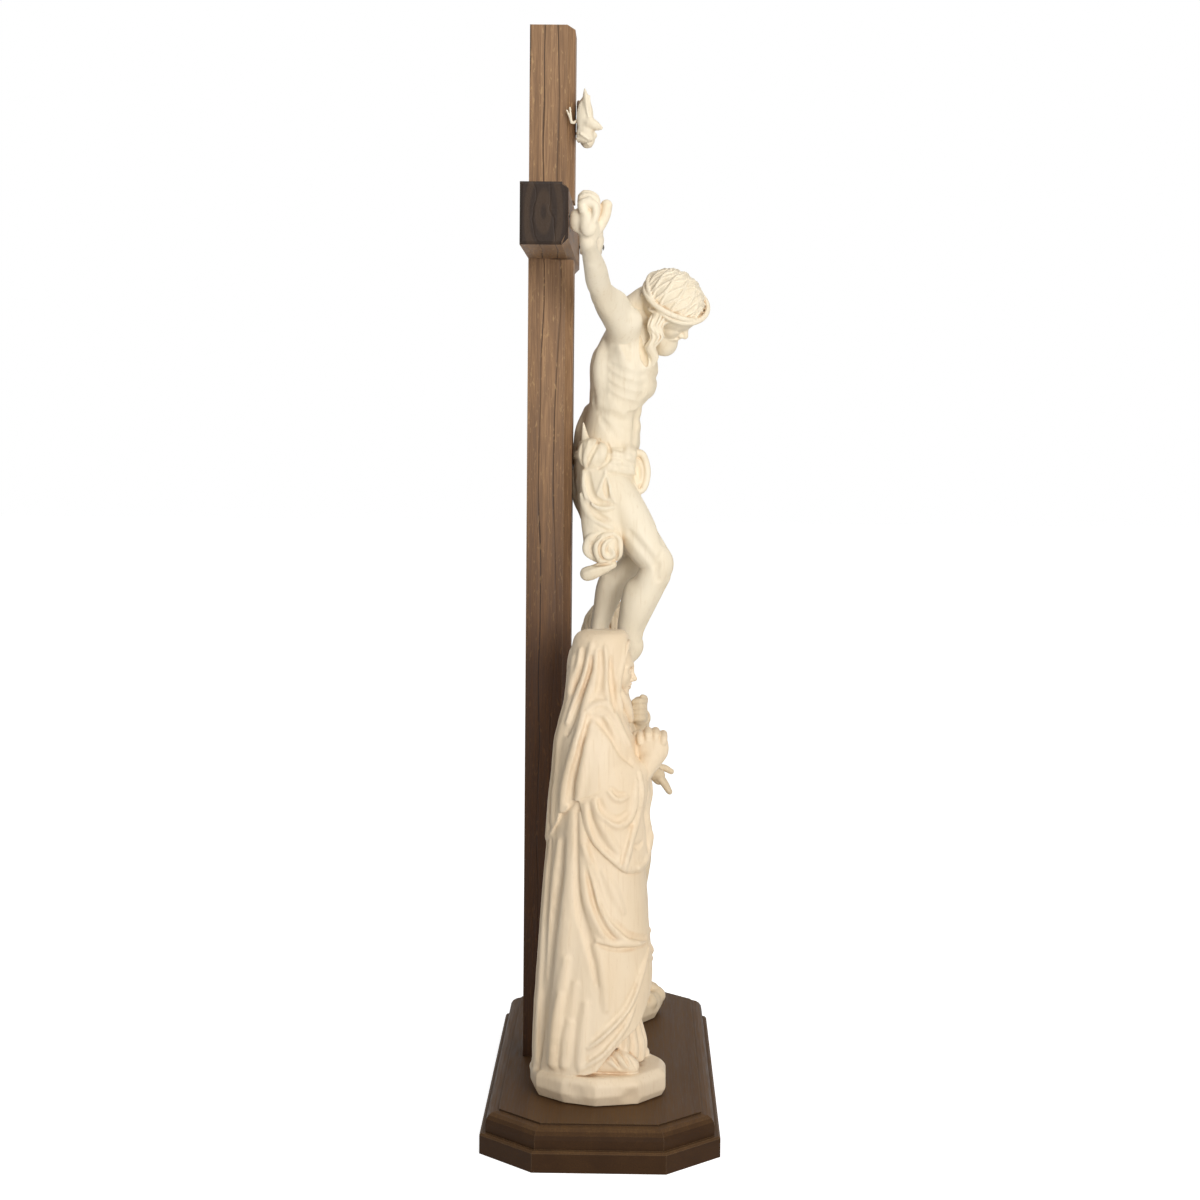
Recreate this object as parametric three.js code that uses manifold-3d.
// A crucifixion group in carved wood: a cross on a moulded base, the hanging figure with
// separately carved arms, and two standing figures on rock socles.
// Millimetres, +Z up. The group faces -Y, and the origin is under the middle of the base.

import * as THREE from 'three';
import { mergeVertices } from 'three/addons/utils/BufferGeometryUtils.js';
import Module from 'manifold-3d';

// Driving dimensions

const AIR = 0.3; // left between any two pieces that touch or enclose each other

const base = {
  length: 230,
  depth: 99,
  cornerCut: 22.5,
  slabHeight: 8.6,
  height: 18,
  slabBevel: 0.8,
  step: 2.4,
  roundRadius: 4.6,
  fillet: 0.9,
};

const cross = {
  top: 471,
  stock: 19.5,
  postWidth: 28,
  beamLength: 176,
  beamHeight: 25,
  beamCentre: 383,
  behindCentre: 26,
  postBevel: 3.4,
  beamBevel: 2.6,
  endBevel: 1.2,
  domeRise: 0.8,
  domeShare: 0.5,
  browDrop: 1.6,
};

const tenon = { width: 18, thickness: 10, length: 8 };

const corpus = {
  height: 200,
  shoulderSeam: 20.5,
  handNailReach: 78,
  handNailAboveToes: 215,
  palmDepth: 11.2,
  footNailAboveToes: 14,
  feetDepth: 16.8,
  screwAboveToes: 112,
};

const socle = { width: 55, depth: 58, height: 11.8 };
const woman = { height: 195, edgeMargin: 19.1, forward: -1 };
const disciple = { height: 199, edgeMargin: 19.1, forward: -1 };

const scroll = { width: 42, height: 20, thickness: 2.2, centre: 431, bow: 7, lean: 2.2, curl: 9 };

const postScrew = { shank: 4, head: 8, bite: 26 };
const statueScrew = { shank: 3.5, head: 7, bite: 16 };
const corpusScrew = { shank: 3, head: 6, bite: 8 };
const lapScrew = { shank: 2.6, head: 5.2, bite: 6 };
const handNail = { shank: 1.5, head: 3.2, headRise: 0.8, bite: 8 };
const footNail = { shank: 1.8, head: 3.6, headRise: 0.9, bite: 9 };
const scrollPin = { shank: 1, head: 2, headRise: 0.6, bite: 7 };
const armDowel = { diameter: 3, length: 11 };

// Places that follow from them

const topInset = base.step + base.roundRadius + base.fillet;
const topHalf = base.length / 2 - topInset;
const postFront = cross.behindCentre - cross.stock / 2;
const postBack = cross.behindCentre + cross.stock / 2;
const postFoot = base.height + AIR;
const lapDepth = cross.stock / 2;

// The three figures are enlarged from patterns of these heights, as a copying lathe does
const corpusPattern = 200;
const womanPattern = 195;
const disciplePattern = 199;

// Materials

const stained = (colour) => new THREE.MeshStandardMaterial({
  color: colour, roughness: 0.45, metalness: 0,
});
const darkWood = stained(0x4b3a2e);
const crossWood = stained(0x6f5540);
const paleWood = new THREE.MeshStandardMaterial({ color: 0xead9bd, roughness: 0.6, metalness: 0 });
const beech = new THREE.MeshStandardMaterial({ color: 0xd8b98c, roughness: 0.65, metalness: 0 });
const steel = new THREE.MeshStandardMaterial({ color: 0x8f8f92, roughness: 0.35, metalness: 1 });

// Joining and cutting

const wasm = await Module();
wasm.setup();

function solid(geometry) {
  const plain = geometry.index ? geometry.toNonIndexed() : geometry.clone();
  plain.deleteAttribute('normal');
  plain.deleteAttribute('uv');
  const merged = mergeVertices(plain, 1e-4);
  return new wasm.Manifold(new wasm.Mesh({
    numProp: 3,
    vertProperties: new Float32Array(merged.attributes.position.array),
    triVerts: new Uint32Array(merged.index.array),
  }));
}

const join = (solids) => solids.reduce((whole, piece) => whole.add(piece));
const cut = (body, tools) => tools.reduce((whole, tool) => whole.subtract(tool), body);

const group = new THREE.Group();

function place(name, body, material) {
  const cleaned = body.getMesh();
  const geometry = new THREE.BufferGeometry();
  geometry.setAttribute('position', new THREE.BufferAttribute(cleaned.vertProperties, 3));
  geometry.setIndex(new THREE.BufferAttribute(cleaned.triVerts, 1));
  geometry.computeVertexNormals();
  const mesh = new THREE.Mesh(geometry, material);
  mesh.name = name;
  group.add(mesh);
}

// Shapes

function signedVolume(positions, index) {
  const corner = (i) => new THREE.Vector3().fromArray(positions, 3 * index[i]);
  let sum = 0;
  for (let i = 0; i < index.length; i += 3) {
    sum += corner(i).dot(corner(i + 1).cross(corner(i + 2))) / 6;
  }
  return sum;
}

// A closed skin over rings of points, all of one count, with a fan at each end
function skin(rings) {
  const count = rings[0].length;
  const positions = [];
  for (const ring of rings) for (const p of ring) positions.push(p.x, p.y, p.z);
  const index = [];
  for (let r = 0; r + 1 < rings.length; r += 1) {
    for (let i = 0; i < count; i += 1) {
      const j = (i + 1) % count;
      const a = r * count;
      const b = a + count;
      index.push(a + i, a + j, b + j, a + i, b + j, b + i);
    }
  }
  const lastStart = (rings.length - 1) * count;
  for (const [ring, start, flip] of [[rings[0], 0, true], [rings.at(-1), lastStart, false]]) {
    const middle = ring.reduce((sum, p) => sum.add(p), new THREE.Vector3()).divideScalar(count);
    const hub = positions.length / 3;
    positions.push(middle.x, middle.y, middle.z);
    for (let i = 0; i < count; i += 1) {
      const j = (i + 1) % count;
      index.push(hub, start + (flip ? j : i), start + (flip ? i : j));
    }
  }
  if (signedVolume(positions, index) < 0) index.reverse();
  const geometry = new THREE.BufferGeometry();
  geometry.setAttribute('position', new THREE.Float32BufferAttribute(positions, 3));
  geometry.setIndex(index);
  return solid(geometry);
}

// One level ring of a carved body: [z, y, half depth, half width, x, pleat, slope].
// A pleat moves every other point in and out; a slope tips the ring down towards the back
function levelRing([z, y, depth, width, x = 0, pleat = 0, slope = 0], sides) {
  return Array.from({ length: sides }, (_, i) => {
    const turn = (2 * Math.PI * i) / sides;
    const wave = (i % 2 ? 1 : -1) * pleat;
    const dx = (width + wave) * Math.cos(turn);
    const dy = (depth + wave) * Math.sin(turn);
    return new THREE.Vector3(x + dx, y + dy, z - slope * dy);
  });
}

const loft = (sections, sides = 16) => skin(sections.map((section) => levelRing(section, sides)));

// A limb along [x, y, z, radius] points, with rounded ends
const tipReach = 0.7;
const tipRadius = 0.6;

function limb(stations, sides = 8) {
  const points = stations.map(([x, y, z]) => new THREE.Vector3(x, y, z));
  const radii = stations.map((station) => station[3]);
  const last = points.length - 1;
  const along = points.map((_, i) => points[Math.min(i + 1, last)].clone()
    .sub(points[Math.max(i - 1, 0)]).normalize());
  let across = Math.abs(along[0].x) > 0.8 ? new THREE.Vector3(0, 1, 0) : new THREE.Vector3(1, 0, 0);
  const ring = (centre, direction, radius) => {
    across = across.clone().addScaledVector(direction, -across.dot(direction)).normalize();
    const third = direction.clone().cross(across);
    return Array.from({ length: sides }, (_, i) => {
      const turn = (2 * Math.PI * i) / sides;
      return centre.clone()
        .addScaledVector(across, radius * Math.cos(turn))
        .addScaledVector(third, radius * Math.sin(turn));
    });
  };
  const tip = (i, sign) => ring(
    points[i].clone().addScaledVector(along[i], sign * radii[i] * tipReach), along[i], radii[i] * tipRadius,
  );
  return skin([tip(0, -1), ...points.map((point, i) => ring(point, along[i], radii[i])), tip(last, 1)]);
}

// A rounded mass: its centre, its three half sizes, its tip towards the back and its sides
function ball([x, y, z], [rx, ry, rz], tip = 0, sides = 12) {
  const geometry = new THREE.SphereGeometry(1, sides, Math.round(sides * 0.6));
  return geometry.scale(rx, ry, rz).rotateX(tip).translate(x, y, z);
}

const blob = (...measures) => solid(ball(...measures));

function block(low, high) {
  const size = high.map((value, i) => value - low[i]);
  const geometry = new THREE.BoxGeometry(...size);
  geometry.translate(...low.map((value, i) => value + size[i] / 2));
  return solid(geometry);
}

// A turned shape, drawn up its own axis, set at a place and pointed along a direction
function turned(profile, at, direction, sides = 12) {
  const geometry = new THREE.LatheGeometry(profile.map(([r, z]) => new THREE.Vector2(r, z)), sides);
  geometry.applyQuaternion(new THREE.Quaternion().setFromUnitVectors(
    new THREE.Vector3(0, 1, 0), new THREE.Vector3(...direction).normalize(),
  ));
  geometry.translate(...at);
  return solid(geometry);
}

// The same body enlarged from its pattern and moved to its place
function moved(body, scale, offset) {
  const { vertProperties, triVerts } = body.getMesh();
  const geometry = new THREE.BufferGeometry();
  geometry.setAttribute('position', new THREE.BufferAttribute(vertProperties, 3));
  geometry.setIndex(new THREE.BufferAttribute(triVerts, 1));
  return solid(geometry.scale(scale, scale, scale).translate(...offset));
}

// Fasteners: each gives its solid and, with air round it, the hole that takes it

function countersunk({ shank, head }, length, at, direction) {
  const profile = (air) => [
    [0, -air],
    [head / 2 + air, -air],
    [head / 2 + air, air],
    [shank / 2 + air, (head - shank) / 2 + air],
    [shank / 2 + air, length - shank + air],
    [0, length + 2 * air],
  ];
  return { piece: turned(profile(0), at, direction), hole: turned(profile(AIR), at, direction) };
}

function domed({ shank, head, headRise }, length, at, direction) {
  const piece = [
    [0, -headRise], [head * 0.3, -headRise * 0.8], [head / 2, 0],
    [shank / 2, 0], [shank / 2, length - shank], [0, length],
  ];
  const hole = [
    [0, -AIR - headRise], [head / 2 + AIR, -AIR - headRise], [head / 2 + AIR, AIR * 0.5],
    [shank / 2 + AIR, AIR * 0.5], [shank / 2 + AIR, length - shank + AIR], [0, length + 2 * AIR],
  ];
  return { piece: turned(piece, at, direction, 10), hole: turned(hole, at, direction, 10) };
}

function dowel({ diameter, length }, at, direction) {
  const profile = (air) => [
    [0, -length / 2 - air], [diameter / 2 + air, -length / 2 - air],
    [diameter / 2 + air, length / 2 + air], [0, length / 2 + air],
  ];
  return { piece: turned(profile(0), at, direction), hole: turned(profile(AIR), at, direction) };
}

// Base board

function octagon(inset, z) {
  const x = base.length / 2 - inset;
  const y = base.depth / 2 - inset;
  const c = base.cornerCut - inset * (2 - Math.SQRT2);
  return [
    [x, -y + c], [x, y - c], [x - c, y], [-x + c, y],
    [-x, y - c], [-x, -y + c], [-x + c, -y], [x - c, -y],
  ].map(([px, py]) => new THREE.Vector3(px, py, z));
}

function baseBoard() {
  const { slabHeight, slabBevel, step, roundRadius, fillet, height } = base;
  const rings = [
    octagon(0, 0), octagon(0, slabHeight - slabBevel), octagon(slabBevel, slabHeight),
    octagon(step, slabHeight),
  ];
  const roundFoot = height - fillet - roundRadius;
  for (let i = 0; i <= 4; i += 1) {
    const turn = (Math.PI / 2) * (i / 4);
    const inset = step + roundRadius * (1 - Math.cos(turn));
    rings.push(octagon(inset, roundFoot + roundRadius * Math.sin(turn)));
  }
  rings.push(octagon(step + roundRadius + fillet, height - fillet));
  rings.push(octagon(step + roundRadius + fillet, height));
  return skin(rings);
}

// Cross: post and beam are halved into each other, the beam in front

function bevelledSection(halfWidth, bevel, z) {
  return [
    [halfWidth, postBack], [-halfWidth, postBack], [-halfWidth, postFront + bevel],
    [-halfWidth + bevel, postFront], [halfWidth - bevel, postFront], [halfWidth, postFront + bevel],
  ].map(([x, y]) => new THREE.Vector3(x, y, z));
}

function post() {
  const half = cross.postWidth / 2;
  const { top, domeRise, domeShare, browDrop, postBevel, behindCentre } = cross;
  const shoulder = bevelledSection(half, postBevel, top - domeRise);
  for (const p of shoulder) if (p.y === postFront) p.z -= browDrop;
  const crown = bevelledSection(half, postBevel, top).map((p) => new THREE.Vector3(
    p.x * domeShare, behindCentre + (p.y - behindCentre) * domeShare, p.z,
  ));
  const whole = skin([bevelledSection(half, postBevel, postFoot), shoulder, crown]);
  const notchHalf = cross.beamHeight / 2 + AIR;
  const notch = block(
    [-half - 1, postFront - 1, cross.beamCentre - notchHalf],
    [half + 1, postFront + lapDepth, cross.beamCentre + notchHalf],
  );
  return whole.subtract(notch).add(tenonBlock(0));
}

// The stub tenon under the post, and with air round it the mortise in the base
function tenonBlock(air) {
  const x = tenon.width / 2 + air;
  const y = tenon.thickness / 2 + air;
  return block(
    [-x, cross.behindCentre - y, base.height - tenon.length - air],
    [x, cross.behindCentre + y, postFoot + 1],
  );
}

function crossbeam() {
  const { beamCentre, beamHeight, beamLength, beamBevel, endBevel, postWidth } = cross;
  const section = (x, inset) => {
    const h = beamHeight / 2 - inset;
    return [
      [postBack - inset, h], [postFront + beamBevel, h], [postFront + inset, h - beamBevel],
      [postFront + inset, -h + beamBevel], [postFront + beamBevel, -h], [postBack - inset, -h],
    ].map(([y, z]) => new THREE.Vector3(x, y, beamCentre + z));
  };
  const end = beamLength / 2;
  const whole = skin([
    section(-end, endBevel), section(-end + endBevel, 0), section(end - endBevel, 0), section(end, endBevel),
  ]);
  const lap = block(
    [-postWidth / 2 - AIR, postFront + lapDepth - AIR, beamCentre - beamHeight],
    [postWidth / 2 + AIR, postBack + 1, beamCentre + beamHeight],
  );
  return whole.subtract(lap);
}

// Scroll at the head of the cross: a bare leaf whose ends roll forward

function titulusScroll() {
  const { width, height, thickness, centre, bow, lean, curl } = scroll;
  const steps = 12;
  const flatShare = 0.8;
  const flare = 0.16;
  const back = postFront - AIR;
  const rings = [];
  for (let i = 0; i <= steps; i += 1) {
    const t = (2 * i) / steps - 1;
    const rolled = Math.max(0, Math.abs(t) - flatShare) / (1 - flatShare);
    const forward = bow * (0.5 - 0.5 * Math.cos(Math.PI * Math.min(1, Math.abs(t) / flatShare))) - curl * rolled;
    const half = (height / 2) * (1 + flare * Math.cos(3 * Math.PI * t));
    const y = back - thickness - forward;
    rings.push([
      [y - lean, half], [y, 0], [y - lean, -half],
      [y + thickness - lean, -half], [y + thickness, 0], [y + thickness - lean, half],
    ].map(([py, pz]) => new THREE.Vector3((width / 2) * t, py, centre + pz)));
  }
  return skin(rings);
}

// The hanging figure. Its pattern has x to its own left, y forward from the front of the post
// as negative numbers, and z up from the tips of its toes.

const torso = [
  [90, -9.5, 8.5, 13], [102, -14.4, 13, 16.5], [112, -14.6, 13.6, 17], [122, -15, 13, 15.6],
  [130, -16.2, 12.3, 14.5], [138, -18.3, 12.3, 15.5], [146, -20.8, 14, 17.5], [156, -21.8, 14.5, 19],
  [164, -22.7, 13.3, 19], [172, -24, 11.3, 18], [179, -25, 8.4, 14], [186, -26, 5.5, 7],
];
const loincloth = [
  [94, -11.5, 11, 15.5], [100, -14, 13.6, 17.8], [112, -15, 14.6, 18.6], [115, -15, 14.6, 18.6],
  [118, -15.7, 15.3, 19.4], [122, -15.5, 14.8, 18.2],
];
const rightLeg = [
  [-9, -13.5, 104, 10.4], [-10.5, -24, 89, 9.4], [-10.8, -34, 75, 8], [-10.5, -38.5, 68.5, 7.2],
  [-9.5, -31, 54.5, 7.4], [-8, -27, 43, 6.2], [-5, -22, 31, 4.4], [-2.5, -16, 21, 4.7],
  [-0.5, -13.2, 12, 4.3], [0.5, -13, 3.4, 3.2],
];
const leftLeg = [
  [9, -13.5, 104, 10.4], [13, -22, 88, 9], [15.5, -28, 71.5, 7.2], [12.5, -18.5, 56, 6.8],
  [9, -15, 42, 5.4], [6, -10.5, 30, 4.1], [4, -6.2, 21, 4.6], [1.5, -4.9, 12, 4.3],
  [-1, -4.6, 3.4, 3.2],
];
const rightArm = [
  [-12, -24, 170, 8.5], [-20.5, -25.5, 176, 7.2], [-33, -19.5, 182.5, 5.7], [-46, -12.5, 189, 4.7],
  [-55, -11.2, 194, 5.1], [-66, -9.8, 200, 4.1], [-73, -8.6, 205, 3.5],
];
const mirrored = (stations) => stations.map(([x, ...rest]) => [-x, ...rest]);

// The head hangs forward and over its right shoulder: where it is, and its own up and forward
const bowed = { at: [-6, -44.9, 182], up: [-0.55, -0.36, 0.75], forward: [-0.25, -0.8, -0.55] };

// A solid drawn on a head's own axes (x left, y back, z up), turned and moved to the head
function onHead({ at, up, forward }, geometry) {
  const z = new THREE.Vector3(...up).normalize();
  const y = new THREE.Vector3(...forward).negate();
  y.addScaledVector(z, -y.dot(z)).normalize();
  const x = y.clone().cross(z);
  geometry.applyMatrix4(new THREE.Matrix4().makeBasis(x, y, z));
  geometry.translate(...at);
  return solid(geometry);
}

function bowedHead() {
  const crown = new THREE.TorusGeometry(1, 0.15, 6, 18);
  crown.scale(11.8, 13.6, 12);
  crown.rotateX(-0.12).translate(0, 0, 3.4);
  return join([
    onHead(bowed, ball([0, 0.5, 0.5], [10.2, 12.2, 12.4], 0, 14)),
    onHead(bowed, ball([0, -3.6, -5.4], [7.4, 8.4, 9.6])),
    onHead(bowed, ball([0, -6.4, -15], [4.6, 4.4, 6.4])),
    onHead(bowed, crown),
    limb([[-2, -37, 183, 7.5], [0, -27, 178, 7]]),
    limb([[-13.4, -41, 179, 4.4], [-15, -37.5, 170, 3.8], [-13.6, -34.8, 163, 2.4]], 6),
    limb([[2.5, -47, 182, 4.2], [6, -43.5, 174, 3.6], [8, -39, 166, 2.2]], 6),
  ]);
}

const hand = () => join([
  blob([-77.6, -6.6, 211.5], [4.9, 6.2, 7.6]),
  blob([-79.8, -9.8, 220.5], [4.4, 6.2, 4.6]),
  blob([-74.4, -12.4, 215.6], [2.8, 4.2, 4.6], 0.5, 8),
]);

// Pattern to place: scaled to the figure's height and set on the cross
const corpusScale = corpus.height / corpusPattern;
const toeLevel = cross.beamCentre - corpus.handNailAboveToes * corpusScale;
const onCross = (body) => moved(body, corpusScale, [0, postFront, toeLevel]);
const nailHeight = cross.beamCentre;
const nailReach = corpus.handNailReach * corpusScale;
const seam = corpus.shoulderSeam * corpusScale;
const far = 4 * corpus.height;

const inFrontOfCross = () => block([-far, -far, -far], [far, postFront - AIR, far]);
const beyondSeam = (side, air) => (side < 0
  ? block([-far, -far, -far], [-seam - air, far, far])
  : block([seam + air, -far, -far], [far, far, far]));

function corpusFasteners() {
  const footLevel = toeLevel + corpus.footNailAboveToes * corpusScale;
  const feetFront = postFront - corpus.feetDepth * corpusScale;
  const palmFront = postFront - corpus.palmDepth * corpusScale;
  const palmLength = postFront - palmFront + handNail.bite;
  const axis = new THREE.Vector3(-12.5, 6, 6.5);
  const shoulder = [-seam - AIR / 2, postFront - 25.3 * corpusScale, toeLevel + 176.2 * corpusScale];
  const mirror = ([x, y, z]) => [-x, y, z];
  return {
    rightHand: domed(handNail, palmLength, [-nailReach, palmFront, nailHeight], [0, 1, 0]),
    leftHand: domed(handNail, palmLength, [nailReach, palmFront, nailHeight], [0, 1, 0]),
    feet: domed(footNail, postFront - feetFront + footNail.bite, [0, feetFront, footLevel], [0, 1, 0]),
    screw: countersunk(
      corpusScrew, cross.stock + AIR + corpusScrew.bite,
      [0, postBack, toeLevel + corpus.screwAboveToes * corpusScale], [0, -1, 0],
    ),
    rightDowel: dowel(armDowel, shoulder, axis.toArray()),
    leftDowel: dowel(armDowel, mirror(shoulder), mirror(axis.toArray())),
  };
}

function corpusBody(fasteners) {
  const tail = limb([
    [-18.5, -8.5, 108, 6.5], [-20.5, -8.6, 94, 6], [-21.5, -12.6, 78, 8.4], [-21, -11.8, 66, 5.4],
  ], 10);
  const stumps = [rightArm, mirrored(rightArm)].map((arm) => limb(arm.slice(0, 3)));
  const whole = onCross(join([
    loft(torso, 16), limb(rightLeg, 10), limb(leftLeg, 10), loft(loincloth, 18), tail,
    blob([5, -28.5, 109], [5.6, 5, 9.6]), bowedHead(), ...stumps,
  ]));
  return cut(whole.intersect(inFrontOfCross()), [
    beyondSeam(-1, 0), beyondSeam(1, 0),
    fasteners.feet.hole, fasteners.screw.hole, fasteners.rightDowel.hole, fasteners.leftDowel.hole,
  ]);
}

// The other side's twin of a body
function mirrorTwin(body) {
  const { vertProperties, triVerts } = body.getMesh();
  const geometry = new THREE.BufferGeometry();
  geometry.setAttribute('position', new THREE.BufferAttribute(vertProperties, 3));
  geometry.setIndex(new THREE.BufferAttribute(triVerts.reverse(), 1));
  return solid(geometry.scale(-1, 1, 1));
}

function corpusArm(side, fasteners) {
  const whole = join([limb(rightArm, 10), hand()]);
  const body = onCross(side < 0 ? whole : mirrorTwin(whole));
  const holes = side < 0
    ? [fasteners.rightHand.hole, fasteners.rightDowel.hole]
    : [fasteners.leftHand.hole, fasteners.leftDowel.hole];
  return cut(body.intersect(inFrontOfCross()).intersect(beyondSeam(side, AIR)), holes);
}

// The standing figures. Their patterns have y = 0 at the middle of the socle and z up from its
// underside. Both stand the same distance in from the ends of the base.

function rock(scale) {
  const ragged = [1, 0.96, 1, 0.97, 0.95, 1, 0.98, 0.95, 1, 0.97, 1, 0.96];
  const ring = (z, share, shift) => ragged.map((_, i) => {
    const turn = (2 * Math.PI * i) / ragged.length;
    const reach = share * ragged[(i + shift) % ragged.length];
    const square = 1.06 - 0.06 * Math.cos(4 * turn);
    return new THREE.Vector3(
      (socle.width / 2 / scale) * reach * square * Math.cos(turn),
      (socle.depth / 2 / scale) * reach * square * Math.sin(turn), z / scale,
    );
  });
  return skin([
    ring(0, 0.94, 0), ring(socle.height * 0.4, 1, 1), ring(socle.height * 0.8, 0.97, 3),
    ring(socle.height, 0.9, 2),
  ]);
}

const womanRobe = [
  [11, 7, 22, 22, 0, 0.9], [30, 5.2, 22.4, 21.6, 0, 0.8], [56, 2.5, 24, 20.6, 0, 0.7],
  [77, 2.6, 22.6, 20.4, 0, 0.5], [102, 1.2, 21.4, 20.6], [124, 0.8, 19.6, 20.4],
  [136, 1.5, 15, 16],
];
const womanShawl = [
  [121.5, 4, 19.4, 22, 0, 0.6, 0.76], [134, 3.5, 17.6, 21.5, 0, 0.5, 0.5],
  [146, 2.8, 16.8, 20.6, 0, 0.3, 0.25], [156, 3.5, 14.5, 18.4], [163, 2.7, 13.8, 15.4],
  [170, 2, 13.8, 12.6], [180, 1.8, 13.3, 11.4], [188, 1.2, 11.4, 10.2], [193, 0.3, 7.4, 6.8],
  [195, -0.2, 2.4, 2.2],
];

function womanPatternBody(scale) {
  const swags = [
    [[-18, 9, 121, 5], [-17, -6, 105, 5.4], [-9, -15, 96, 5.6], [3, -17, 96, 5.4], [13, -11, 108, 5]],
    [[-18, 9, 110, 5], [-17, -6, 84, 5.2], [-9, -15, 66, 5.4], [3, -18, 61, 5.4], [13, -12, 74, 5]],
  ];
  const sleeve = [[-17, 1, 150, 7.5], [-18.5, -4, 134, 7.4], [-10, -16, 138, 6.2], [-3.5, -20.5, 142, 4.6]];
  return join([
    rock(scale), loft(womanRobe, 24), loft(womanShawl, 24),
    blob([0, -5.6, 178], [7, 7.6, 9.8]),
    limb(sleeve), limb(mirrored(sleeve)),
    blob([-3, -22, 147], [3.6, 5.2, 7.8]), blob([3, -22, 147], [3.6, 5.2, 7.8]),
    limb([[-8, -8, 14.5, 4], [-9, -16.5, 14, 3.4]], 8), limb([[8, -8, 14.5, 4], [9, -15, 14, 3.4]], 8),
    ...swags.map((swag) => limb(swag, 6)),
  ]);
}

const discipleRobe = [
  [11, 0.5, 21, 20, 0, 0.9], [30, 0, 21.5, 19.4, 0, 0.8], [56, -0.8, 21, 19.4, 0, 0.7],
  [84, -0.5, 19.4, 19, 0, 0.5], [108, 0.5, 17, 18.2], [128, 1.2, 15.4, 18.6], [146, 1.4, 14.6, 20],
  [157, 1.8, 12.6, 18.4], [164, 1.6, 9, 12], [169, 1.8, 7.4, 7.2], [177, 1.8, 7, 6.8],
];

function disciplePatternBody(scale) {
  const openArm = [[-16.5, 1.5, 153, 7], [-20.5, -3, 132, 7], [-15.5, -15, 121, 5.6], [-12.5, -22, 118, 3.6]];
  const chestArm = [[16.5, 1.5, 153, 7], [20.5, -3.5, 132, 7.2], [12, -14, 138, 5.8], [4, -16.6, 145, 3.8]];
  const mantle = [
    [[17, 6, 157, 4], [10, -10.5, 152, 3.6], [-4, -15.5, 132, 3.2], [-17, -11, 112, 3.4], [-20, 4, 102, 3.4]],
    [[16, -6, 118, 5], [7, -15, 94, 5], [-7, -17, 78, 5], [-16, -6, 86, 5]],
  ];
  return join([
    rock(scale), loft(discipleRobe, 24),
    blob([0, -2.6, 184], [8.6, 10, 12.4]), blob([0, 1.4, 185.6], [10.8, 11, 12.6]),
    limb([[-8.6, 5, 180, 5.4], [-8.2, 7, 167, 4.6]]), limb([[8.6, 5, 180, 5.4], [8.2, 7, 167, 4.6]]),
    limb([[0, 8.6, 180, 6.4], [0, 9.4, 166, 5.4]]),
    limb(openArm), limb(chestArm),
    limb([[-12.4, -23, 117.6, 3.4], [-12, -28, 114, 3.6], [-11.6, -31.6, 109, 2]], 6),
    limb([[4.6, -16.8, 145, 3.4], [-1, -17.6, 149, 3.2], [-5.6, -16.6, 152, 2]], 6),
    limb([[-8, -12, 14.5, 4], [-9, -21.5, 14, 3.4]], 8), limb([[8, -12, 14.5, 4], [9, -20, 14, 3.4]], 8),
    ...mantle.map((swag) => limb(swag, 6)),
  ]);
}

function standing(figure, pattern, side, patternBody) {
  const scale = figure.height / pattern;
  const at = [side * (topHalf - figure.edgeMargin - socle.width / 2), -figure.forward, postFoot];
  const screw = countersunk(statueScrew, postFoot + statueScrew.bite, [at[0], at[1], 0], [0, 0, 1]);
  const body = moved(patternBody(scale), scale, at).subtract(screw.hole);
  return { body, screw };
}

// The assembly

const fasteners = corpusFasteners();
const womanSet = standing(woman, womanPattern, -1, womanPatternBody);
const discipleSet = standing(disciple, disciplePattern, 1, disciplePatternBody);
const footScrew = countersunk(
  postScrew, base.height + postScrew.bite, [0, cross.behindCentre, 0], [0, 0, 1],
);
const beamScrew = countersunk(
  lapScrew, cross.stock - lapDepth + lapScrew.bite, [0, postBack, cross.beamCentre], [0, -1, 0],
);
const scrollFront = postFront - AIR - scroll.thickness;
const pin = domed(
  scrollPin, scroll.thickness + AIR + scrollPin.bite, [0, scrollFront, scroll.centre], [0, 1, 0],
);

place('base_board', cut(baseBoard(), [
  tenonBlock(AIR), footScrew.hole, womanSet.screw.hole, discipleSet.screw.hole,
]), darkWood);
place('post', cut(post(), [
  footScrew.hole, beamScrew.hole, pin.hole, fasteners.feet.hole, fasteners.screw.hole,
]), crossWood);
place('crossbeam', cut(crossbeam(), [
  beamScrew.hole, fasteners.rightHand.hole, fasteners.leftHand.hole,
]), darkWood);
place('titulus_scroll', titulusScroll().subtract(pin.hole), paleWood);
place('corpus_body', corpusBody(fasteners), paleWood);
place('corpus_right_arm', corpusArm(-1, fasteners), paleWood);
place('corpus_left_arm', corpusArm(1, fasteners), paleWood);
place('veiled_woman_statue', womanSet.body, paleWood);
place('disciple_statue', discipleSet.body, paleWood);
place('right_arm_dowel', fasteners.rightDowel.piece, beech);
place('left_arm_dowel', fasteners.leftDowel.piece, beech);
place('right_hand_nail', fasteners.rightHand.piece, steel);
place('left_hand_nail', fasteners.leftHand.piece, steel);
place('foot_nail', fasteners.feet.piece, steel);
place('corpus_screw', fasteners.screw.piece, steel);
place('post_screw', footScrew.piece, steel);
place('woman_screw', womanSet.screw.piece, steel);
place('disciple_screw', discipleSet.screw.piece, steel);
place('lap_screw', beamScrew.piece, steel);
place('titulus_nail', pin.piece, steel);

export default group;
